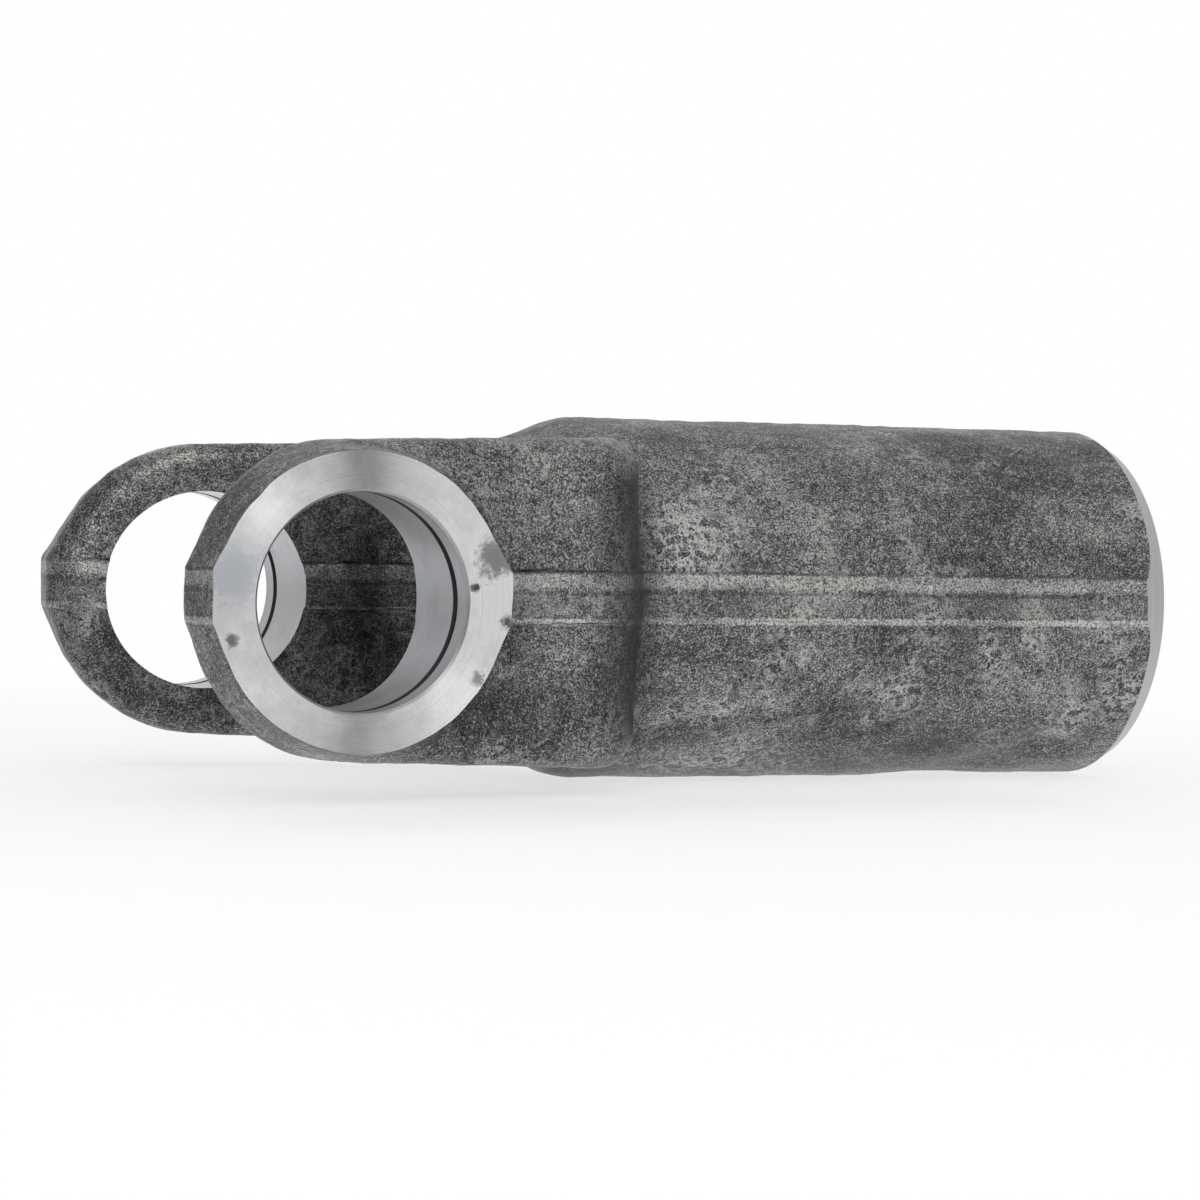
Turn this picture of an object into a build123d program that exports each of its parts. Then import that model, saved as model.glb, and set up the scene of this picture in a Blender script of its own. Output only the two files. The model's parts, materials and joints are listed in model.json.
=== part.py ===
from build123d import *

import os
from math import acos, atan, atan2, cos, degrees, hypot, radians, sin, tan

# The fork and hub of a universal joint: one forging, machined where the bearing caps, the snap rings
# and the splined shaft fit. Millimetres. The cross bore's axis is Y, the hub's axis is +X, and they
# meet at the origin. The dies close along Z, with the parting plane at Z = 0.

# Bearing caps of the joint cross, each held in its ear by a snap ring outside it
cap_diameter = 27.0
kit_width = 70.0
snap_ring_thickness = 1.1
ring_groove_width = 1.6
ring_groove_depth = 1.0
ring_land = 3.5
bore_edge_break = 0.3

# Ears, whose outer faces are machined flat
boss_wall = 5.0
boss_flare = 1.4
boss_flare_length = 8.0
ear_thickness = 15.05

# Arms between the ears and the hub
boss_stand = 3.0
boss_foot_round = 1.5
arm_slant = 5.0
arm_draft = 1.5
arm_rise = 1.4
arm_edge_round = 3.5

# Gap between the ears, down to the saddle
gap_slant = 10.7
gap_draft = 2.0
gap_edge_round = 2.5
saddle_distance = 32.0
saddle_round = 10.0

# Web, where the arms end on the hub
web_length = 10.3
web_corner_round = 7.0
web_foot_size = 2.5

# Hub, a long sleeve with a splined bore
spline_major_diameter = 34.9
spline_minor_diameter = 29.7
spline_slot_width = 8.7
spline_count = 6
bore_mouth_chamfer = 1.2
hub_wall = 6.95
cross_to_end = 123.4
shoulder_offset = 2.7
shoulder_length = 7.0
shoulder_angle = 22.5
shoulder_blend = 12.0
end_chamfer_length = 2.6
end_chamfer_depth = 1.5

# Trim band, the strip left where the flash was sheared off around the parting plane
trim_top = 3.95
trim_bottom = 2.5
trim_stand = 0.4
nose_stand = 0.65

# Stock that the machining takes off the ear faces and the hub's end
machining_stock = 1.0

bore_radius = cap_diameter / 2
groove_outer = kit_width / 2 + snap_ring_thickness
face_half = groove_outer + ring_land
ear_radius = bore_radius + boss_wall + boss_flare
flare_start = face_half - boss_flare_length
gap_half = face_half - ear_thickness
arm_half = face_half - boss_stand
arm_top = ear_radius + arm_rise
major_radius = spline_major_diameter / 2
minor_radius = spline_minor_diameter / 2
hub_radius = major_radius + hub_wall
web_end = saddle_distance + web_length
shoulder_start = saddle_distance + shoulder_offset
shoulder_end = shoulder_start + shoulder_length
shoulder_drop = shoulder_length * tan(radians(shoulder_angle))
sleeve_start = shoulder_end + 2 * shoulder_blend * tan(radians(shoulder_angle / 2))
die_height = hub_radius + machining_stock
trim_height = trim_top + trim_bottom


def touch_point(radius, x, y):
    """Where the line from (x, y) touches a circle about the origin, on the circle's upper side."""
    angle = atan2(y, x) + acos(radius / hypot(x, y))
    return radius * cos(angle), radius * sin(angle)


def forged_round(plane, radius, stand):
    """Outline of a round forged between two dies: an arc above and below, and on each side the flat trim
    band, with the drafted lines that leave its edges and run tangent into the arcs."""
    tip = radius + stand
    up_x, up_y = touch_point(radius, tip, trim_top)
    down_x, down_y = touch_point(radius, tip, trim_bottom)
    with BuildSketch(plane) as outline:
        with BuildLine():
            ThreePointArc((up_x, up_y), (0, radius), (-up_x, up_y))
            Polyline((-up_x, up_y), (-tip, trim_top), (-tip, -trim_bottom), (-down_x, -down_y))
            ThreePointArc((-down_x, -down_y), (0, -radius), (down_x, -down_y))
            Polyline((down_x, -down_y), (tip, -trim_bottom), (tip, trim_top), (up_x, up_y))
        make_face()
    return outline.sketch


def slanted_plan(plane, start, end, half_at_zero, slant, corner):
    """Plan outline that narrows from start to end at the slant, with both corners at its end rounded."""
    half_start = half_at_zero - start * tan(radians(slant))
    half_end = half_at_zero - end * tan(radians(slant))
    with BuildSketch(plane) as outline:
        with BuildLine():
            Polyline(
                (start, -half_start),
                (end, -half_end),
                (end, half_end),
                (start, half_start),
                close=True,
            )
        make_face()
        fillet(outline.vertices().group_by(Axis.X)[-1], corner)
    return outline.sketch


def arm_plan(plane, stand):
    """Both arms and the web from above, without the gap."""
    end = web_end + stand
    return slanted_plan(plane, -ear_radius, end, arm_half + stand, arm_slant, web_corner_round)


def gap_plan(plane, stand):
    """The gap between the ears and the arms from above, from past the ears' tips to the saddle."""
    end = saddle_distance - stand
    return slanted_plan(plane, -2 * ear_radius, end, gap_half - stand, gap_slant, saddle_round)


def between_dies(plan, slope):
    """A plan outline pulled up and down from the parting plane, at a slope from the dies' direction."""
    with BuildPart() as walls:
        extrude(plan, amount=die_height)
        draft(walls.faces().filter_by(Axis.Z, reverse=True), Plane.XY, slope)
        mirror(about=Plane.XY)
    return walls.part


# Arms and web, a little higher towards the hub, with rounded edges above and below
arm_start, arm_start_top = touch_point(ear_radius, web_end, arm_top)
with BuildPart() as arms:
    with BuildSketch(Plane.XZ):
        with BuildLine():
            Polyline(
                (arm_start, -arm_start_top),
                (web_end, -arm_top),
                (web_end, arm_top),
                (arm_start, arm_start_top),
                close=True,
            )
        make_face()
    extrude(amount=face_half, both=True)
    add(between_dies(arm_plan(Plane.XY, 0), arm_draft), mode=Mode.INTERSECT)
    top_and_bottom = arms.faces().filter_by(lambda face: abs(face.normal_at().Z) > cos(radians(45)))
    outer_rims = top_and_bottom.edges().filter_by(lambda edge: edge.center().X > arm_start + 1)
    fillet(outer_rims, arm_edge_round)

# One ear: a plain round inside, and outside it the tapered boss around the bore, with the trim band
with BuildPart() as ear:
    with BuildSketch(Plane.XZ):
        Circle(ear_radius)
    extrude(amount=flare_start)
    extrude(
        forged_round(Plane.XZ.offset(flare_start), ear_radius, nose_stand),
        amount=boss_flare_length + machining_stock,
        taper=degrees(atan(boss_flare / boss_flare_length)),
    )

# Fork: arms and both ears, with the gap, its rounded rims and the rounds at the foot of each boss
with BuildPart() as fork:
    add(arms.part)
    add(ear.part)
    mirror(ear.part, about=Plane.XZ)
    add(between_dies(gap_plan(Plane.XY, 0), -gap_draft), mode=Mode.SUBTRACT)
    gap_walls = fork.faces().filter_by(
        lambda face: abs(face.normal_at().Z) < sin(radians(gap_draft + 1))
        and abs(face.center().Y) < gap_half
        and face.center().X < saddle_distance + 1
    )
    gap_rims = gap_walls.edges().filter_by(
        lambda edge: abs(edge.center().Z) > trim_top
        and edge.bounding_box().size.X + edge.bounding_box().size.Y > gap_edge_round
    )
    fillet(gap_rims, gap_edge_round)
    arm_sides = fork.faces().filter_by(
        lambda face: face.geom_type == GeomType.PLANE
        and abs(face.normal_at().Z) < sin(radians(arm_draft + 1))
        and abs(face.center().Y) > flare_start
        and face.center().X > 0
    )
    boss_feet = arm_sides.edges().filter_by(
        lambda edge: edge.geom_type in (GeomType.ELLIPSE, GeomType.BSPLINE)
        and edge.center().X < ear_radius
    )
    fillet(boss_feet, boss_foot_round)

# Hub: a shoulder that widens from the web and the sleeve behind it
with BuildPart() as hub:
    with BuildSketch(Plane.XZ) as shoulder:
        with BuildLine():
            Polyline(
                (shoulder_start, 0),
                (shoulder_start, hub_radius - shoulder_drop),
                (shoulder_end, hub_radius),
                (sleeve_start, hub_radius),
                (sleeve_start, 0),
                close=True,
            )
        make_face()
        fillet(shoulder.vertices().group_by(Axis.Y)[-1].sort_by(Axis.X)[0], shoulder_blend)
    revolve(axis=Axis.X)
    extrude(
        forged_round(Plane.YZ.offset(sleeve_start), hub_radius, trim_stand),
        amount=cross_to_end + machining_stock - sleeve_start,
    )

# Slope between the web's end and the hub, no higher than the arms
foot_end = web_end + web_foot_size
foot_radius = hub_radius + web_foot_size
with BuildPart() as web_foot:
    with BuildSketch(Plane.XZ):
        with BuildLine():
            Polyline(
                (foot_end, hub_radius),
                (foot_end, 0),
                (shoulder_end, 0),
                (shoulder_end, foot_radius),
                (web_end, foot_radius),
                close=True,
            )
        make_face()
    revolve(axis=Axis.X)
    with BuildSketch(Plane.YZ.offset(shoulder_end)):
        RectangleRounded(2 * foot_radius, 2 * arm_top, arm_edge_round)
    extrude(amount=foot_end - shoulder_end, mode=Mode.INTERSECT)

# Trim band of the arms, the gap and the hub's shoulder; the ears and the sleeve have it in their outline
with BuildPart() as trim:
    lower_trim = Plane.XY.offset(-trim_bottom)
    extrude(arm_plan(lower_trim, trim_stand), amount=trim_height)
    with BuildSketch(lower_trim):
        with Locations((shoulder_end, 0)):
            Rectangle(
                sleeve_start - shoulder_end,
                2 * (hub_radius + trim_stand),
                align=(Align.MIN, Align.CENTER),
            )
    extrude(amount=trim_height)
    with BuildSketch(lower_trim):
        Rectangle(2 * ear_radius, 4 * face_half, align=(Align.MAX, Align.CENTER))
        add(gap_plan(lower_trim, trim_stand))
    extrude(amount=trim_height, mode=Mode.SUBTRACT)

# The forging as it is machined
with BuildPart() as yoke:
    add(fork.part)
    add(hub.part)
    add(web_foot.part)
    add(trim.part)
    with BuildSketch(Plane.XY):
        Rectangle(2 * cross_to_end, 2 * face_half)
    extrude(amount=die_height, both=True, mode=Mode.INTERSECT)

    with BuildSketch(Plane.XZ):
        Circle(bore_radius)
    extrude(amount=face_half, both=True, mode=Mode.SUBTRACT)
    with BuildSketch(Plane.XZ.offset(groove_outer - ring_groove_width), Plane.XZ.offset(-groove_outer)):
        Circle(bore_radius + ring_groove_depth)
    extrude(amount=ring_groove_width, mode=Mode.SUBTRACT)
    bore_mouths = yoke.edges().filter_by(GeomType.CIRCLE).filter_by(
        lambda edge: abs(abs(edge.center().Y) - face_half) < 0.01 and abs(edge.radius - bore_radius) < 0.01
    )
    chamfer(bore_mouths, bore_edge_break)

    with BuildSketch(Plane.YZ.offset(cross_to_end)):
        Circle(minor_radius)
        with PolarLocations(0, spline_count, start_angle=180 / spline_count):
            Rectangle(major_radius, spline_slot_width, align=(Align.MIN, Align.CENTER))
        Circle(major_radius, mode=Mode.INTERSECT)
    extrude(amount=saddle_distance - saddle_round - cross_to_end, mode=Mode.SUBTRACT)
    with BuildSketch(Plane.XZ):
        with BuildLine():
            Polyline(
                (cross_to_end, 0),
                (cross_to_end, major_radius + bore_mouth_chamfer),
                (cross_to_end - 2 * bore_mouth_chamfer, major_radius - bore_mouth_chamfer),
                (cross_to_end - 2 * bore_mouth_chamfer, 0),
                close=True,
            )
        make_face()
    revolve(axis=Axis.X, mode=Mode.SUBTRACT)
    with BuildSketch(Plane.XZ):
        with BuildLine():
            Polyline(
                (cross_to_end - 2 * end_chamfer_length, hub_radius + end_chamfer_depth),
                (cross_to_end, hub_radius - end_chamfer_depth),
                (cross_to_end, hub_radius + end_chamfer_depth),
                close=True,
            )
        make_face()
    revolve(axis=Axis.X, mode=Mode.SUBTRACT)

yoke.part.label = "yoke"
os.makedirs("parts", exist_ok=True)
export_step(yoke.part, "parts/yoke.step")
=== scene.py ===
import json
from math import cos, pi, radians, sin, sqrt, tan

import bmesh
import bpy
import numpy as np
from mathutils import Matrix, Vector

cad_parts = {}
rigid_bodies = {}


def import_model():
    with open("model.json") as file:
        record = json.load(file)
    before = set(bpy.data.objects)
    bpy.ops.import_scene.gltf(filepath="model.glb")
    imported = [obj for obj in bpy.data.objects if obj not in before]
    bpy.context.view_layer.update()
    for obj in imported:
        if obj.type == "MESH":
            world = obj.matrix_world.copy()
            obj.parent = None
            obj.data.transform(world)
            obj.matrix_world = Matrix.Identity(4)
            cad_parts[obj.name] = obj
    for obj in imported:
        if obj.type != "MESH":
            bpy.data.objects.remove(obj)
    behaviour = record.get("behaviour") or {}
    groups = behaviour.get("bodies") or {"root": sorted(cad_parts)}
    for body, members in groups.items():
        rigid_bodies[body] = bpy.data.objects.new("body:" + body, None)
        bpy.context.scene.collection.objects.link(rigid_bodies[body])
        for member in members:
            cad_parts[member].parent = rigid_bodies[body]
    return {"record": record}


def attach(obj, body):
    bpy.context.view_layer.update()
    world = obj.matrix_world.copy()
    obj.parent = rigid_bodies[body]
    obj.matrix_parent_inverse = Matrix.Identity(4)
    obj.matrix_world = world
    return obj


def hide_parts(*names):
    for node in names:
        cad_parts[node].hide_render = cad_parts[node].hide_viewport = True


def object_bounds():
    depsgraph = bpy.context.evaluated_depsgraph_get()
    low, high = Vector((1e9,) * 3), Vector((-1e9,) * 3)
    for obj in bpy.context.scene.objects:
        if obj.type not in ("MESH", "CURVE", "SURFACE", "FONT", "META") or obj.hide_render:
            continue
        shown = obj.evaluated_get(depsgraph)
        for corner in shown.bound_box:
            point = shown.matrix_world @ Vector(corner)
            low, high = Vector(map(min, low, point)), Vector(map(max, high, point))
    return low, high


# A forged yoke of a universal joint, seen against white. Metres, in the frame's axes: the cross bore
# lies along Y, the hub along +X, and the dies of the forging closed along Z.
mm = 0.001

for left_over in list(bpy.data.objects):
    bpy.data.objects.remove(left_over)
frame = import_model()
cad_low, cad_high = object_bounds()
mounts = {mount["name"]: mount for mount in frame["record"]["mounts"]}

# Sizes that the frame gives
bore_radius = mounts["cross_bore"]["dims"]["r_mm"] * mm
face_half = cad_high.y
end_face = cad_high.x
hub_radius = cad_high.z

# Ears
ear_radius = 19.9 * mm
boss_flare = 1.4 * mm
flare_start = 31.0 * mm
nose_stand = 0.65 * mm
nose_rim = 4.0 * mm
nose_rim_reach = 13 * mm

# Arms, web and gap
arm_half = 36.6 * mm
arm_slant = tan(radians(5.0))
arm_draft = tan(radians(1.5))
arm_top = 21.3 * mm
arm_rise_start = -0.65 * mm
arm_rise = tan(radians(1.9))
arm_rim = 3.5 * mm
web_rim = 4.6 * mm
boss_foot = 2.6 * mm
web_end = 42.3 * mm
web_corner = 8.0 * mm
web_foot = 4.0 * mm
web_foot_top = 0.9 * mm
web_foot_height = 21 * mm
web_foot_fade = 7 * mm
web_rim_start = 18 * mm
web_rim_full = 6 * mm
gap_half = 24.55 * mm
gap_slant = tan(radians(10.7))
gap_draft = tan(radians(2.0))
gap_rim = 2.2 * mm
saddle = 32.0 * mm
saddle_corner = 10.0 * mm

# Hub
shoulder_start = 34.7 * mm
shoulder_end = 41.7 * mm
shoulder_slope = radians(22.5)
shoulder_blend = 0.8 * mm

# Trim band left by the sheared flash
trim_top = 3.95 * mm
trim_bottom = 2.5 * mm
trim_stand = 0.4 * mm
trim_edge = 0.12 * mm

# Where the ears begin, which carry their own trim band: along -X, and away from the middle
ear_zone_along = (-24 * mm, -16 * mm)
ear_zone_across = (24 * mm, 30 * mm)

# Machining
stock = 1.0 * mm
edge_break = 0.3 * mm
groove_outer = 36.1 * mm
groove_width = 1.6 * mm
groove_depth = 1.0 * mm
spline_major = 17.45 * mm
spline_minor = 14.85 * mm
slot_width = 8.7 * mm
slot_count = 6
mouth_chamfer = 1.2 * mm
end_chamfer_length = 2.6 * mm
end_chamfer_depth = 1.5 * mm

# Strips in the trim band: middle height, half width, shade, strength
trim_strips = [
    (2.7 * mm, 1.2 * mm, 0.62, 0.80),
    (-0.3 * mm, 1.9 * mm, 0.42, 0.35),
    (-trim_bottom + 0.1 * mm, 0.55 * mm, 0.66, 0.95),
    (trim_top - 0.1 * mm, 0.28 * mm, 0.04, 0.50),
    (1.15 * mm, 0.28 * mm, 0.04, 0.50),
]
pale_strip = 0.2

# The machined faces are a little duller towards -X, by this much a metre
dulling_slope = 5.0

# Marks on the near ear face: middle, reach, colour, strength
face_marks = [
    ((17.0 * mm, -face_half, 5.5 * mm), 3.2 * mm, (0.16, 0.16, 0.17), 0.75),
    ((14.4 * mm, -face_half, 2.0 * mm), 0.7 * mm, (0.05, 0.05, 0.05), 0.9),
    ((18.8 * mm, -face_half, -2.3 * mm), 1.2 * mm, (0.10, 0.10, 0.10), 0.9),
    ((15.0 * mm, -face_half, -9.3 * mm), 1.2 * mm, (0.14, 0.14, 0.14), 0.8),
    ((-16.3 * mm, -face_half, 3.5 * mm), 5.0 * mm, (0.50, 0.54, 0.60), 0.5),
    ((-16.7 * mm, -face_half, -4.8 * mm), 1.0 * mm, (0.14, 0.14, 0.14), 0.8),
]

# Painted shade between web and hub: its middle along the yoke and its reach
corner_middle = 40 * mm
corner_reach = 8.5 * mm

# Greys of the scale, from its pits to its worn grains
scale_greys = [
    (0.26, (0.020, 0.020, 0.021)),
    (0.42, (0.056, 0.056, 0.056)),
    (0.54, (0.135, 0.134, 0.130)),
    (0.72, (0.440, 0.435, 0.422)),
]

# Reach of the painted shade inside the fork
hollow_reach = 60 * mm

# Worn marks on the hub: their middle and reach
worn_place = (50 * mm, -23 * mm, 8 * mm)
worn_reach = 9 * mm

# Solver that cuts the machined surfaces
boolean_solver = "MANIFOLD"

# Grid that the forging is drawn on, finer in height at the trim band's edges
grid_step = 0.66 * mm
fine_step = 0.22 * mm
fine_reach = 0.66 * mm

# Roughness of the skin: wave lengths and heights
skin_waves = [(30 * mm, 0.05 * mm), (11 * mm, 0.045 * mm), (4.5 * mm, 0.030 * mm), (2.2 * mm, 0.016 * mm)]
waves_per_size = 14
skin_depth = 1.5 * mm
skin_seed = 7

# The skin is evener next to the hub's end: share of its roughness there, and where it fades in
end_share = 0.3
end_fade = (2 * mm, 12 * mm)

# Dents: place, radius of the hollow, depth
dents = [
    (Vector((108, -15.0, -19.3)) * mm, 5.0 * mm, 0.9 * mm),
    (Vector((112.5, -14.5, -19.6)) * mm, 4.0 * mm, 0.8 * mm),
    (Vector((103, -10.0, -22.4)) * mm, 6.0 * mm, 0.7 * mm),
    (Vector((97, -4.0, -24.1)) * mm, 12.0 * mm, 0.6 * mm),
]


def smooth_step(value, start, end):
    share = np.clip((value - start) / (end - start), 0, 1)
    return share * share * (3 - 2 * share)


def round_max(a, b, radius):
    """Where both distances are inside, with the edge between them rounded."""
    corner = np.hypot(np.maximum(a + radius, 0), np.maximum(b + radius, 0))
    return np.minimum(np.maximum(a, b), -radius) + corner


def round_min(a, b, radius):
    """Where either distance is inside, with the corner between them hollowed."""
    return -round_max(-a, -b, radius)


def forged_round(across, up, radius, stand):
    """Distance to a round between two dies: a circle with a trim band, and drafted sides that leave it."""
    tip = radius + stand
    angle = np.arctan2(up, across)
    circle = np.hypot(across, up) - radius
    sides = circle
    for height, way in ((trim_top, 1), (trim_bottom, -1)):
        touch = np.arctan2(height, tip) + np.arccos(radius / np.hypot(tip, height))
        side = across * np.cos(touch) + way * up * np.sin(touch) - radius
        sides = np.where((way * angle >= 0) & (way * angle < touch), side, sides)
    return round_max(sides, across - tip, trim_edge)


def ears(x, y, z):
    radius = ear_radius - boss_flare * np.maximum(y - flare_start, 0) / (face_half - flare_start)
    stand = nose_stand * smooth_step(y, flare_start - 1.5 * mm, flare_start + 1.5 * mm)
    return np.maximum(forged_round(np.abs(x), z, radius, stand), y - face_half - stock)


def arms_and_ears(x, y, z):
    """Both arms, the web and the ears, with hollow feet round the bosses, still without the gap."""
    side = y - (arm_half - x * arm_slant - np.abs(z) * arm_draft)
    end = x - (web_end - np.abs(z) * arm_draft)
    plan = round_max(side, end, web_corner)
    top = np.abs(z) - (arm_top - (web_end - x) * arm_rise)
    ear = ears(x, y, z)
    rim = arm_rim + (web_rim - arm_rim) * smooth_step(x, web_end - web_rim_start, web_end - web_rim_full)
    arms = round_max(round_min(ear, plan, boss_foot), top, rim)
    arms = np.maximum(arms, arm_rise_start - x)
    return np.minimum(ear, arms)


def gap(x, y, z):
    """Negative inside the gap between the arms."""
    wall = y - (gap_half - x * gap_slant + np.abs(z) * gap_draft)
    return round_max(wall, x - saddle - np.abs(z) * gap_draft, saddle_corner)


def hub(x, y, z):
    sleeve = forged_round(y, z, hub_radius, trim_stand)
    out = np.hypot(y, z) - hub_radius
    cone = (out + (shoulder_end - x) * tan(shoulder_slope)) * cos(shoulder_slope)
    ends = np.maximum(shoulder_start - x, x - end_face - stock)
    return np.maximum(round_max(sleeve, cone, shoulder_blend), ends)


def hollows(x, y, z):
    """Depth of the dents at each point."""
    depth = 0
    for place, radius, deepest in dents:
        away = (x - place.x) ** 2 + (y - place.y) ** 2 + (z - place.z) ** 2
        depth = depth + deepest * np.exp(-away / (2 * (0.45 * radius) ** 2))
    return depth


def skin_noise(x, y, z):
    """Seeded plane waves of a few sizes, the uneven skin that the dies leave."""
    random = np.random.default_rng(skin_seed)
    height = 0
    for length, swing in skin_waves:
        directions = random.normal(size=(waves_per_size, 3))
        directions /= np.linalg.norm(directions, axis=1)[:, None]
        phases = random.uniform(0, 2 * pi, waves_per_size)
        lengths = length * random.uniform(0.7, 1.4, waves_per_size)
        for (a, b, c), phase, one in zip(directions, phases, lengths):
            wave = np.sin((a * x + b * y + c * z) * 2 * pi / one + phase)
            height = height + swing * sqrt(2 / waves_per_size) * wave
    return height


def forging(x, y, z):
    """Distance to the forging's skin: negative inside."""
    side = np.abs(y)
    rim = gap_rim + (nose_rim - gap_rim) * smooth_step(-x, 0, nose_rim_reach)
    fork = round_max(arms_and_ears(x, side, z), -gap(x, side, z), rim)
    low = smooth_step(web_foot_height - np.abs(z), 0, web_foot_fade)
    foot = web_foot_top + (web_foot - web_foot_top) * low
    body = round_min(fork, hub(x, side, z), foot)
    band = np.abs(z - (trim_top - trim_bottom) / 2) - (trim_top + trim_bottom) / 2
    on_ear = smooth_step(-x, *ear_zone_along) * smooth_step(side, *ear_zone_across)
    body = np.minimum(body, round_max(body - trim_stand * (1 - on_ear), band, trim_edge))
    return body


def rough_forging(x, y, z):
    away = forging(x, y, z)
    near = np.abs(away) < skin_depth
    place = [np.broadcast_to(axis, away.shape)[near] for axis in (x, y, z)]
    evenness = end_share + (1 - end_share) * smooth_step(end_face - place[0], *end_fade)
    away[near] += skin_noise(*place) * evenness + hollows(*place)
    return away


def surface_net(values, lines):
    """Vertices and quads of the surface where the values on a grid change sign."""
    cells = np.array(values.shape) - 1
    total = np.zeros((3, cells.prod()))
    count = np.zeros(cells.prod())
    quads = []
    for axis in range(3):
        step = np.eye(3, dtype=int)[axis]
        before = values[tuple(slice(0, size - s) for size, s in zip(values.shape, step))]
        after = values[tuple(slice(s, size) for size, s in zip(values.shape, step))]
        low = np.argwhere((before < 0) != (after < 0))
        start = before[tuple(low.T)]
        stop = after[tuple(low.T)]
        place = np.stack([lines[i][low[:, i]] for i in range(3)])
        place[axis] += start / (start - stop) * (lines[axis][low[:, axis] + 1] - lines[axis][low[:, axis]])
        ring = []
        for back_one, back_two in ((0, 0), (1, 0), (1, 1), (0, 1)):
            cell = low.copy()
            cell[:, (axis + 1) % 3] -= back_one
            cell[:, (axis + 2) % 3] -= back_two
            ring.append(np.ravel_multi_index(tuple(cell.T), tuple(cells)))
            count += np.bincount(ring[-1], minlength=count.size)
            for i in range(3):
                total[i] += np.bincount(ring[-1], weights=place[i], minlength=count.size)
        quad = np.stack(ring, axis=1)
        quads.append(np.where((start < 0)[:, None], quad, quad[:, ::-1]))
    used = np.flatnonzero(count)
    index = np.zeros(count.size, int)
    index[used] = np.arange(used.size)
    return (total[:, used] / count[used]).T, index[np.concatenate(quads)]


def settle(points, field, rounds, reach):
    """Moves points onto the surface of a distance field."""
    for _ in range(rounds):
        slope = np.empty_like(points)
        for i in range(3):
            shift = np.zeros(3)
            shift[i] = reach
            slope[:, i] = (field(*(points + shift).T) - field(*(points - shift).T)) / (2 * reach)
        away = field(*points.T)
        length = np.maximum((slope ** 2).sum(axis=1), 0.5)
        points = points - slope * np.clip(away / length, -reach, reach)[:, None]
    return points


def mesh_object(name, points, faces):
    mesh = bpy.data.meshes.new(name)
    mesh.from_pydata([tuple(p) for p in points], [], [tuple(map(int, f)) for f in faces])
    mesh.validate()
    made = bpy.data.objects.new(name, mesh)
    bpy.context.scene.collection.objects.link(made)
    return made


def forged_body():
    margin = 2 * grid_step
    low = (-ear_radius - nose_stand - margin, -face_half - stock - margin, -hub_radius - margin)
    high = (end_face + stock + margin, face_half + stock + margin, hub_radius + margin)
    lines = [np.arange(a, b + grid_step, grid_step) for a, b in zip(low, high)]
    edges = []
    for edge in (-trim_bottom, trim_top):
        edges.append(np.arange(edge - fine_reach, edge + fine_reach, fine_step))
    away = np.min([np.abs(lines[2] - (fine[0] + fine[-1]) / 2) for fine in edges], axis=0)
    lines[2] = np.sort(np.concatenate([lines[2][away > fine_reach + fine_step], *edges]))
    grid = np.meshgrid(*lines, indexing="ij", sparse=True)
    points, quads = surface_net(rough_forging(*grid), lines)
    return mesh_object("yoke_body", settle(points, rough_forging, 2, 0.2 * mm), quads)


def lathe(name, profile, axis, steps=192):
    """Closed solid of revolution from (along, radius) points, about X or Y."""
    points = []
    for along, radius in profile:
        for i in range(steps):
            turn = 2 * pi * i / steps
            place = (along, radius * cos(turn), radius * sin(turn))
            points.append(place if axis == "X" else (place[2], place[0], place[1]))
    faces = []
    for row in range(len(profile)):
        following = (row + 1) % len(profile)
        for i in range(steps):
            j = (i + 1) % steps
            faces.append((row * steps + i, row * steps + j, following * steps + j, following * steps + i))
    return mesh_object(name, points, faces)


def slab(name, low, high):
    corners = [(x, y, z) for x in (low[0], high[0]) for y in (low[1], high[1]) for z in (low[2], high[2])]
    faces = [(0, 1, 3, 2), (4, 6, 7, 5), (0, 4, 5, 1), (2, 3, 7, 6), (0, 2, 6, 4), (1, 5, 7, 3)]
    return mesh_object(name, corners, faces)


def face_cutter(way):
    """Takes the stock off one ear face."""
    near, far = sorted((way * face_half, way * (face_half + 4 * stock)))
    return slab("ear_face_cutter", (-0.03, near, -0.03), (0.05, far, 0.03))


def cross_bore_cutter():
    """Bore through both ears, with the ring grooves and the broken edges at the ear faces."""
    groove_radius = bore_radius + groove_depth
    half = [
        (face_half + 2 * stock, bore_radius + edge_break + 2 * stock),
        (face_half - edge_break, bore_radius),
        (groove_outer, bore_radius),
        (groove_outer, groove_radius),
        (groove_outer - groove_width, groove_radius),
        (groove_outer - groove_width, bore_radius),
    ]
    profile = half + [(-along, radius) for along, radius in reversed(half)]
    axis = [(-half[0][0], 0), (half[0][0], 0)]
    return lathe("cross_bore_cutter", profile + axis, "Y")


def spline_cutter():
    """Prism of the six-slot splined bore, from inside the gap to past the hub's end."""
    outline = []
    half_slot = slot_width / 2
    slot_reach = sqrt(spline_major ** 2 - half_slot ** 2)
    foot_angle = np.arcsin(half_slot / spline_minor)
    for i in range(slot_count):
        middle = 2 * pi * (i + 0.5) / slot_count
        corner = np.arctan2(half_slot, slot_reach)
        for turn in np.linspace(-corner, corner, 9):
            outline.append((spline_major * cos(middle + turn), spline_major * sin(middle + turn)))
        for turn in np.linspace(foot_angle, 2 * pi / slot_count - foot_angle, 9):
            outline.append((spline_minor * cos(middle + turn), spline_minor * sin(middle + turn)))
    count = len(outline)
    start, stop = saddle - saddle_corner, end_face + 2 * stock
    points = [(x, y, z) for x in (start, stop) for y, z in outline]
    faces = [(i, (i + 1) % count, count + (i + 1) % count, count + i) for i in range(count)]
    faces += [tuple(reversed(range(count))), tuple(range(count, 2 * count))]
    return mesh_object("spline_cutter", points, faces)


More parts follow.
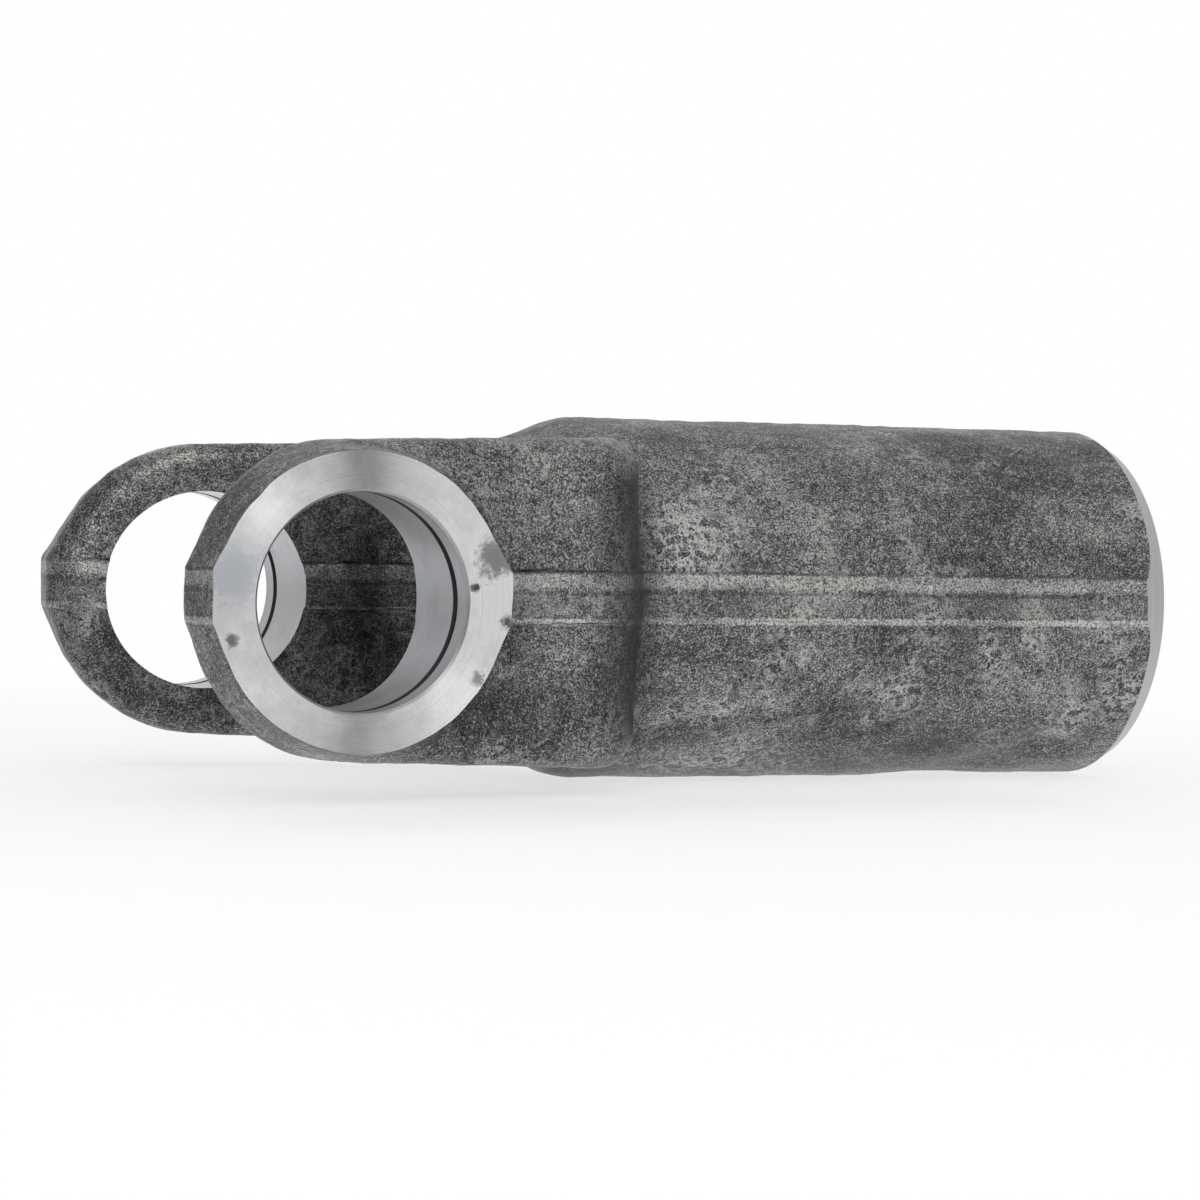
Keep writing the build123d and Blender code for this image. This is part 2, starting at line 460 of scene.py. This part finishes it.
def mouth_cutter():
    """Chamfer at the splined bore's mouth."""
    wide, narrow = spline_major + mouth_chamfer, spline_major - mouth_chamfer
    profile = [
        (end_face - 2 * mouth_chamfer, 0),
        (end_face - 2 * mouth_chamfer, narrow),
        (end_face, wide),
        (end_face + 2 * stock, wide + 2 * stock),
        (end_face + 2 * stock, 0),
    ]
    return lathe("mouth_cutter", profile, "X")


def end_cutter():
    """Faces the hub's end and turns the chamfer round it."""
    slope = end_chamfer_depth / end_chamfer_length
    rim = hub_radius - end_chamfer_depth
    profile = [
        (end_face, 0),
        (end_face, rim),
        (end_face - 3 * end_chamfer_length, rim + 3 * end_chamfer_length * slope),
        (end_face + 4 * stock, rim + 3 * end_chamfer_length * slope),
        (end_face + 4 * stock, 0),
    ]
    return lathe("end_cutter", profile, "X")


def outward(cutter):
    """Turns a cutter's faces outwards and welds the points on its axis."""
    mesh = bmesh.new()
    mesh.from_mesh(cutter.data)
    bmesh.ops.remove_doubles(mesh, verts=mesh.verts, dist=0.001 * mm)
    bmesh.ops.recalc_face_normals(mesh, faces=mesh.faces)
    mesh.to_mesh(cutter.data)
    mesh.free()
    return cutter


def machine(body, cutters):
    """Cuts the body with each cutter in turn and keeps the result as its mesh."""
    for cutter in cutters:
        cut = body.modifiers.new(cutter.name, "BOOLEAN")
        cut.operation = "DIFFERENCE"
        cut.solver = boolean_solver
        cut.object = outward(cutter)
    graph = bpy.context.evaluated_depsgraph_get()
    made = bpy.data.meshes.new_from_object(body.evaluated_get(graph))
    body.modifiers.clear()
    body.data = made
    for cutter in cutters:
        bpy.data.objects.remove(cutter)


def surface_of(middle, normal):
    """Which surface a face is on, by its place: one of the names in surface_names."""
    x = middle[:, 0]
    from_bore = np.hypot(x, middle[:, 2])
    from_axis = np.hypot(middle[:, 1], middle[:, 2])
    side = np.abs(middle[:, 1])
    lean = normal[:, 0]
    kind = np.zeros(len(middle), int)

    in_ear = x < saddle / 2
    on_wall = from_bore < bore_radius + 0.03 * mm
    on_break = (side > face_half - edge_break) & (from_bore < bore_radius + edge_break)
    kind[in_ear & (on_wall | on_break)] = surface_names.index("bore")
    in_groove = np.abs(side - groove_outer + groove_width / 2) < groove_width / 2 + 0.02 * mm
    on_groove = in_groove & ~on_wall & (from_bore < bore_radius + groove_depth + 0.1 * mm)
    kind[in_ear & on_groove] = surface_names.index("groove")
    on_face = (np.abs(side - face_half) < 0.01 * mm) & (np.abs(normal[:, 1]) > 0.9)
    kind[on_face] = surface_names.index("ear_face")

    in_mouth = x > end_face - 3 * mouth_chamfer
    past_saddle = (x > saddle) & ((np.abs(lean) < 0.5) | in_mouth)
    within = from_axis < min(spline_major + mouth_chamfer, hub_radius - 2 * end_chamfer_depth)
    kind[past_saddle & within] = surface_names.index("spline")
    near_rim = (x > end_face - 2 * end_chamfer_length) & (from_axis > hub_radius - 2 * end_chamfer_depth)
    kind[near_rim & (lean > 0.35) & (lean < 0.65)] = surface_names.index("end_face")
    kind[x > end_face - 0.01 * mm] = surface_names.index("end_face")
    return kind


def finish_surfaces(body):
    """Gives every face its material by place, smooth shading and sharp machined edges."""
    mesh = body.data
    mesh.materials.clear()
    for name in surface_names:
        mesh.materials.append(materials[name]())
    count = len(mesh.polygons)
    middle = np.empty(count * 3)
    normal = np.empty(count * 3)
    mesh.polygons.foreach_get("center", middle)
    mesh.polygons.foreach_get("normal", normal)
    mesh.polygons.foreach_set("material_index", surface_of(middle.reshape(-1, 3), normal.reshape(-1, 3)))
    mesh.polygons.foreach_set("use_smooth", np.ones(count, bool))
    mesh.set_sharp_from_angle(angle=radians(28))
    mesh.update()


class Nodes:
    """A node tree with one call for a node and its settings."""

    def __init__(self, tree):
        self.tree = tree

    def add(self, kind, settings=None, **inputs):
        node = self.tree.nodes.new(kind)
        for name, value in (settings or {}).items():
            setattr(node, name, value)
        for name, value in inputs.items():
            socket = node.inputs[name.replace("_", " ")]
            if isinstance(value, bpy.types.NodeSocket):
                self.tree.links.new(value, socket)
            else:
                socket.default_value = value
        return node

    def math(self, operation, a, b=0.0, clamp=False):
        node = self.tree.nodes.new("ShaderNodeMath")
        node.operation = operation
        node.use_clamp = clamp
        for socket, value in zip(node.inputs, (a, b)):
            if isinstance(value, bpy.types.NodeSocket):
                self.tree.links.new(value, socket)
            else:
                socket.default_value = value
        return node.outputs[0]

    def ramp(self, value, stops):
        """Grey or colour stops: (place, grey) or (place, (r, g, b))."""
        node = self.tree.nodes.new("ShaderNodeValToRGB")
        self.tree.links.new(value, node.inputs["Fac"])
        elements = node.color_ramp.elements
        while len(elements) < len(stops):
            elements.new(1.0)
        for element, (place, shade) in zip(elements, stops):
            element.position = place
            colour = shade if isinstance(shade, tuple) else (shade, shade, shade)
            element.color = (*colour, 1.0)
        return node.outputs["Color"]

    def mix(self, share, a, b, blend="MIX"):
        node = self.tree.nodes.new("ShaderNodeMix")
        node.data_type = "RGBA"
        node.blend_type = blend
        for name, value in (("Factor_Float", share), ("A_Color", a), ("B_Color", b)):
            socket = next(one for one in node.inputs if one.identifier == name)
            if isinstance(value, bpy.types.NodeSocket):
                self.tree.links.new(value, socket)
            else:
                socket.default_value = value if name == "Factor_Float" else (*value, 1.0)
        return next(one for one in node.outputs if one.identifier == "Result_Color")

    def blend(self, shares):
        """Sum of noises about their middle, each with its weight, moved back to 0.5."""
        total = 0.5 - 0.5 * sum(weight for _, weight in shares)
        for value, weight in shares:
            total = self.math("ADD", self.math("MULTIPLY", value, weight), total)
        return total

    def stretched(self, vector, scale):
        node = self.add("ShaderNodeVectorMath", {"operation": "MULTIPLY"}, Vector=vector)
        node.inputs[1].default_value = scale
        return node.outputs["Vector"]

    def noise(self, vector, size, detail=3.0, roughness=0.55):
        """Noise whose features are about the given size in metres."""
        settings = dict(Vector=vector, Scale=1 / size, Detail=detail, Roughness=roughness)
        return self.add("ShaderNodeTexNoise", **settings).outputs["Fac"]


def new_material(name):
    material = bpy.data.materials.new(name)
    material.use_nodes = True
    nodes = Nodes(material.node_tree)
    shader = material.node_tree.nodes["Principled BSDF"]
    place = nodes.add("ShaderNodeTexCoord").outputs["Object"]
    return material, nodes, shader, place


def forged_skin():
    """Dull grey scale with fine grain, cloudy patches and streaks along the hub, painted shade in the
    hollows of the fork and in the corner between web and hub, with pale worn marks and the sheared trim
    band."""
    material, nodes, shader, place = new_material("forged_skin")
    grains = nodes.noise(place, 0.25 * mm, 2.0, 0.75)
    coarse = nodes.noise(place, 1.1 * mm, 3.0, 0.7)
    clouds = nodes.noise(nodes.stretched(place, (0.5, 1.0, 1.0)), 6 * mm, 5.0, 0.62)
    broad = nodes.noise(place, 26 * mm, 2.0, 0.5)
    tone = nodes.blend([(grains, 1.25), (coarse, 0.40), (clouds, 0.34), (broad, 0.24)])
    grey = nodes.ramp(tone, scale_greys)
    grey = nodes.mix(worn_marks(nodes, place), grey, (0.62, 0.615, 0.60))
    grey = trim_band(nodes, place, grains, grey)
    # Painted shade: the skin darkened inside the fork
    grey = fork_shade(nodes, place, grey)
    # Painted shade: near black in the corner between the web and the hub
    grey = nodes.mix(web_corner_painted_shade(nodes, place), grey, (0.012, 0.012, 0.013))
    nodes.tree.links.new(grey, shader.inputs["Base Color"])
    shader.inputs["Metallic"].default_value = 0.9
    shader.inputs["Roughness"].default_value = 0.46
    relief = nodes.math("ADD", nodes.math("MULTIPLY", grains, 0.4), coarse)
    bump = nodes.add("ShaderNodeBump", Strength=0.6, Distance=0.2 * mm, Height=relief)
    nodes.tree.links.new(bump.outputs["Normal"], shader.inputs["Normal"])
    return material


def fork_shade(nodes, place, grey):
    """The grey made darker towards black where the fork encloses it: painted shade, from how much the yoke's
    own shape closes round each point.
    """
    own_shape = {"samples": 6, "only_local": True}
    hollow = nodes.add("ShaderNodeAmbientOcclusion", own_shape, Distance=hollow_reach)
    open_share = nodes.ramp(hollow.outputs["AO"], [(0.42, 0.02), (0.66, 0.12), (0.84, 0.75), (0.95, 1.0)])
    along = nodes.add("ShaderNodeSeparateXYZ", Vector=place).outputs["X"]
    in_fork = nodes.ramp(nodes.math("DIVIDE", along, corner_middle), [(0.78, 1.0), (0.95, 0.0)])
    return nodes.mix(in_fork, grey, nodes.mix(1.0, grey, open_share, "MULTIPLY"))


def web_corner_painted_shade(nodes, place):
    """Share of painted shade in the corner between the web and the hub."""
    parts = nodes.add("ShaderNodeSeparateXYZ", Vector=place).outputs
    along = nodes.math("ABSOLUTE", nodes.math("SUBTRACT", parts["X"], corner_middle))
    along = nodes.ramp(nodes.math("DIVIDE", along, corner_reach), [(0.10, 0.80), (0.50, 0.55), (1.0, 0.0)])
    up = nodes.math("DIVIDE", nodes.math("ABSOLUTE", parts["Z"]), arm_top)
    return nodes.math("MULTIPLY", along, nodes.ramp(up, [(0.70, 1.0), (1.0, 0.15)]))


def worn_marks(nodes, place):
    """Bright crooked marks where the scale came off, on the hub next to the web and a few elsewhere."""
    lines = nodes.math("ABSOLUTE", nodes.math("SUBTRACT", nodes.noise(place, 2.2 * mm, 4.0, 0.7), 0.5))
    marks = nodes.ramp(lines, [(0.0, 1.0), (0.05, 0.0)])
    away = nodes.add("ShaderNodeVectorMath", {"operation": "DISTANCE"}, Vector=place)
    away.inputs[1].default_value = worn_place
    near = nodes.ramp(nodes.math("DIVIDE", away.outputs["Value"], worn_reach), [(0.35, 0.85), (1.0, 0.0)])
    patches = nodes.ramp(nodes.noise(place, 9 * mm, 3.0, 0.6), [(0.50, 0.0), (0.68, 0.7)])
    return nodes.math("MULTIPLY", marks, nodes.math("MAXIMUM", near, patches))


def trim_band(nodes, place, grain, grey):
    """The skin's grey with the trim band's strips laid over it, the pale ones speckled."""
    height = nodes.add("ShaderNodeSeparateXYZ", Vector=place).outputs["Z"]
    wander = nodes.math("SUBTRACT", nodes.noise(place, 5 * mm, 3.0), 0.5)
    height = nodes.math("ADD", height, nodes.math("MULTIPLY", wander, 0.5 * mm))
    streaks = nodes.noise(nodes.stretched(place, (0.35, 1.0, 1.0)), 3 * mm, 4.0, 0.65)
    broken = nodes.ramp(streaks, [(0.36, 0.25), (0.60, 1.0)])
    for middle, half_width, shade, strength in trim_strips:
        away = nodes.math("ABSOLUTE", nodes.math("SUBTRACT", height, middle))
        away = nodes.math("DIVIDE", away, half_width)
        share = nodes.math("MULTIPLY", nodes.ramp(away, [(0.55, strength), (1.0, 0.0)]), broken)
        if shade > pale_strip:
            share = nodes.math("MULTIPLY", share, nodes.ramp(grain, [(0.38, 0.1), (0.60, 1.0)]))
        grey = nodes.mix(share, grey, (shade, shade, 0.97 * shade))
    return grey


def machined(name, spread, colour, roughness, pitch, anisotropic, across_axis):
    """Turned or bored steel with fine marks round the axis that across_axis leaves out. Its reflections are
    drawn out away from that axis, or along Y."""
    material, nodes, shader, place = new_material(name)
    parts = nodes.add("ShaderNodeSeparateXYZ", Vector=place).outputs
    flat = nodes.stretched(place, across_axis)
    out = nodes.add("ShaderNodeVectorMath", {"operation": "LENGTH"}, Vector=flat).outputs["Value"]
    lines = nodes.noise(nodes.add("ShaderNodeCombineXYZ", X=out, Y=parts["Y"]).outputs[0], pitch, 2.0, 0.6)
    dull_tone = nodes.noise(place, 6 * mm, 5.0, 0.65)
    # The tone grows darker towards -X
    dull_tone = nodes.math("ADD", dull_tone, nodes.math("MULTIPLY", parts["X"], dulling_slope))
    shade = nodes.ramp(dull_tone, [(0.36, tuple(0.80 * c for c in colour)), (0.60, colour)])
    mark = nodes.ramp(lines, [(0.35, 0.25), (0.65, 0.0)])
    shade = nodes.mix(mark, shade, tuple(0.6 * c for c in colour))
    nodes.tree.links.new(shade, shader.inputs["Base Color"])
    shader.inputs["Metallic"].default_value = 1.0
    shader.inputs["Roughness"].default_value = roughness
    shader.inputs["Anisotropic"].default_value = anisotropic
    if spread == "radial":
        nodes.tree.links.new(flat, shader.inputs["Tangent"])
    else:
        tangent = nodes.add("ShaderNodeCombineXYZ", Y=1.0)
        nodes.tree.links.new(tangent.outputs[0], shader.inputs["Tangent"])
    bump = nodes.add("ShaderNodeBump", Strength=0.2, Distance=0.012 * mm, Height=lines)
    nodes.tree.links.new(bump.outputs["Normal"], shader.inputs["Normal"])
    return material


def ear_face_material():
    """Faced ring, with the spots, nicks and smears that the photo shows on the near one."""
    material = machined("ear_face", "radial", (0.80, 0.80, 0.805), 0.25, 0.3 * mm, 1.0, (1, 0, 1))
    nodes = Nodes(material.node_tree)
    shader = material.node_tree.nodes["Principled BSDF"]
    place = nodes.add("ShaderNodeTexCoord").outputs["Object"]
    mottle = nodes.math("SUBTRACT", nodes.noise(place, 1.0 * mm, 5.0, 0.8), 0.5)
    ragged = nodes.math("MULTIPLY", mottle, 2.2)
    shade = shader.inputs["Base Color"].links[0].from_socket
    rough = (shader.inputs["Roughness"].default_value,) * 3
    for middle, reach, colour, strength in face_marks:
        away = nodes.add("ShaderNodeVectorMath", {"operation": "DISTANCE"}, Vector=place)
        away.inputs[1].default_value = middle
        share = nodes.math("DIVIDE", away.outputs["Value"], reach)
        share = nodes.ramp(nodes.math("ADD", share, ragged), [(0.45, strength), (0.95, 0.0)])
        shade = nodes.mix(share, shade, colour)
        rough = nodes.mix(share, rough, (0.5, 0.5, 0.5))
    nodes.tree.links.new(shade, shader.inputs["Base Color"])
    nodes.tree.links.new(rough, shader.inputs["Roughness"])
    return material


def bore_material():
    return machined("bore_wall", "along", (0.50, 0.515, 0.535), 0.30, 0.2 * mm, 0.5, (1, 0, 1))


def groove_painted_shade_material():
    # Painted shade: the groove's steel is dark grey to stand for the shade inside it
    return machined("ring_groove_painted_shade", "along", (0.16, 0.16, 0.16), 0.45, 0.2 * mm, 0.3, (1, 0, 1))


def spline_material():
    return machined("splined_bore", "along", (0.40, 0.40, 0.405), 0.38, 0.4 * mm, 0.0, (0, 1, 1))


def end_face_material():
    return machined("hub_end", "radial", (0.42, 0.42, 0.43), 0.40, 0.3 * mm, 0.5, (0, 1, 1))


surface_names = ["skin", "ear_face", "bore", "groove", "spline", "end_face"]
materials = {
    "skin": forged_skin,
    "ear_face": ear_face_material,
    "bore": bore_material,
    "groove": groove_painted_shade_material,
    "spline": spline_material,
    "end_face": end_face_material,
}
# Camera, fitted to the photograph
view_yaw = radians(23.363)
view_pitch = radians(1.197)
view_roll = radians(1.058)
view_distance = 484.53 * mm
view_right = -44.25 * mm
view_up = 0.76 * mm
view_lens = 111.03

# Strength of the surroundings as the metal sees them
surroundings = 1.35

# Dark slit in the white surroundings: its bearing from the -Y direction towards +X, and half its width
strip_bearing = radians(19.7)
strip_half = radians(2.9)


def add_camera():
    ahead = Vector((sin(view_yaw) * cos(view_pitch), cos(view_yaw) * cos(view_pitch), -sin(view_pitch)))
    level = Vector((cos(view_yaw), -sin(view_yaw), 0))
    upright = level.cross(ahead)
    right = cos(view_roll) * level + sin(view_roll) * upright
    up = cos(view_roll) * upright - sin(view_roll) * level
    data = bpy.data.cameras.new("camera")
    data.lens = view_lens
    data.sensor_width = 36
    camera = bpy.data.objects.new("camera", data)
    place = -(view_right * right + view_up * up + view_distance * ahead)
    camera.matrix_world = Matrix.Translation(place) @ Matrix((right, up, -ahead)).transposed().to_4x4()
    bpy.context.scene.collection.objects.link(camera)
    bpy.context.scene.camera = camera


def add_light(name, place, width, height, watts):
    """A soft box that faces the middle of the yoke."""
    data = bpy.data.lights.new(name, "AREA")
    data.shape = "RECTANGLE"
    data.size = width
    data.size_y = height
    data.energy = watts
    light = bpy.data.objects.new(name, data)
    middle = Vector((0.05, 0, 0))
    light.location = place
    light.rotation_euler = (middle - Vector(place)).to_track_quat("-Z", "Y").to_euler()
    bpy.context.scene.collection.objects.link(light)


def add_floor():
    """White floor under the hub, which fades into the backdrop away from the yoke."""
    reach = 1.2
    floor = slab("floor", (-reach, -reach, -hub_radius - 0.004), (reach, reach, -hub_radius - 0.0002))
    material, nodes, shader, place = new_material("white_floor")
    shader.inputs["Base Color"].default_value = (0.93, 0.93, 0.93, 1)
    shader.inputs["Roughness"].default_value = 0.9
    shader.inputs["Specular IOR Level"].default_value = 0.1
    clear = nodes.add("ShaderNodeBsdfTransparent")
    away = nodes.add("ShaderNodeVectorMath", {"operation": "LENGTH"}, Vector=place).outputs["Value"]
    share = nodes.ramp(nodes.math("DIVIDE", away, reach), [(0.06, 0.75), (0.30, 1.0)])
    fade = nodes.add("ShaderNodeMixShader", Fac=share)
    nodes.tree.links.new(shader.outputs[0], fade.inputs[1])
    nodes.tree.links.new(clear.outputs[0], fade.inputs[2])
    output = nodes.tree.nodes["Material Output"]
    nodes.tree.links.new(fade.outputs[0], output.inputs["Surface"])
    floor.data.materials.append(material)


def add_surroundings():
    """White to the camera, and for the metal a white tent, darker on the left, with a dark upright slit."""
    world = bpy.data.worlds.new("surroundings")
    bpy.context.scene.world = world
    world.use_nodes = True
    nodes = Nodes(world.node_tree)
    background = world.node_tree.nodes["Background"]
    direction = nodes.add("ShaderNodeTexCoord").outputs["Generated"]
    parts = nodes.add("ShaderNodeSeparateXYZ", Vector=direction).outputs
    raised = nodes.math("MULTIPLY_ADD", parts["Z"], 0.5)
    raised.node.inputs[2].default_value = 0.5
    glow = nodes.ramp(raised, [(0.25, 1.0), (0.48, 0.70), (0.85, 0.68)])
    leftward = nodes.ramp(nodes.math("MULTIPLY", parts["X"], -1.0), [(0.0, 1.0), (0.75, 0.45)])
    glow = nodes.mix(1.0, glow, leftward, "MULTIPLY")
    bearing = nodes.math("ARCTAN2", parts["X"], nodes.math("MULTIPLY", parts["Y"], -1.0))
    away = nodes.math("ABSOLUTE", nodes.math("SUBTRACT", bearing, strip_bearing))
    away = nodes.math("DIVIDE", away, 2 * strip_half)
    glow = nodes.mix(nodes.ramp(away, [(0.35, 1.0), (0.65, 0.0)]), glow, (0.05, 0.05, 0.052))
    seen = nodes.add("ShaderNodeLightPath").outputs["Is Camera Ray"]
    colour = nodes.mix(seen, glow, (1 / surroundings,) * 3)
    nodes.tree.links.new(colour, background.inputs["Color"])
    background.inputs["Strength"].default_value = surroundings


def build():
    body = forged_body()
    ear_cutters = [face_cutter(1), face_cutter(-1), cross_bore_cutter()]
    hub_cutters = [spline_cutter(), mouth_cutter(), end_cutter()]
    machine(body, ear_cutters + hub_cutters)
    finish_surfaces(body)
    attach(body, "root")
    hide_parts("yoke")


build()
add_camera()
add_floor()
add_surroundings()
add_light("key", (-0.30, -0.60, 0.50), 0.5, 0.4, 2.5)
bpy.context.scene.view_settings.view_transform = "Standard"
